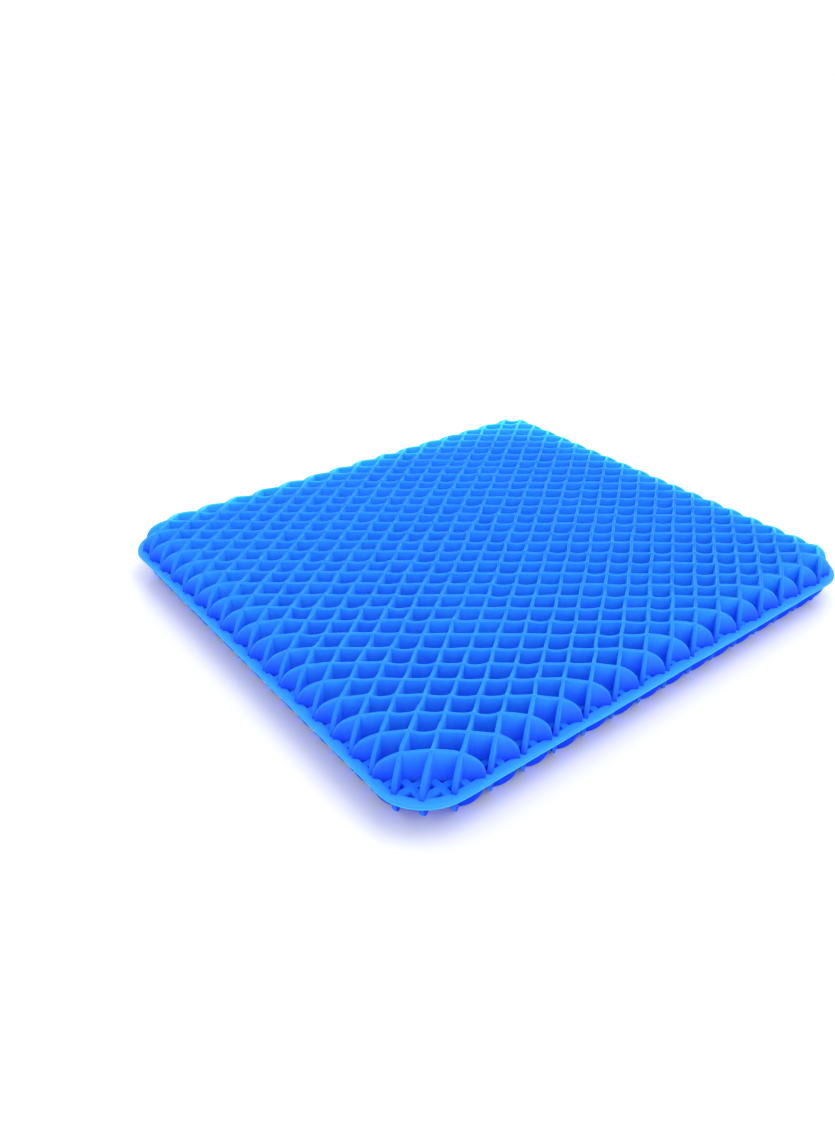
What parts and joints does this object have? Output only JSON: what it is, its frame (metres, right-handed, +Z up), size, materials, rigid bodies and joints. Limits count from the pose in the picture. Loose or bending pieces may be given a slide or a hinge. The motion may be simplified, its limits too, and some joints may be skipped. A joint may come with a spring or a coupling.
{
  "type": "gel grid seat cushion",
  "caption": "Flat rectangular seat cushion of soft elastomer: an open diagonal grid of diamond-shaped cells above and below a mid-height rim flange.",
  "frame": {"origin": "centre of the flat face that the cushion rests on, at the bottom of the lower grid", "axes": "+Z up out of the seat, -Y towards the front edge and the sitter's knees, +Y towards the backrest, +X towards the sitter's left"},
  "size_m": [0.42, 0.366, 0.04],
  "materials": {
    "grid_gel": "satin, slightly translucent azure blue",
    "web_gel": "satin, slightly translucent azure blue",
    "rim_gel": "satin, slightly translucent azure blue"
  },
  "bodies": {
    "root": {"upper_grid": "grid_gel", "centre_web": "web_gel", "rim_flange": "rim_gel", "lower_grid": "grid_gel"}
  },
  "joints": []
}
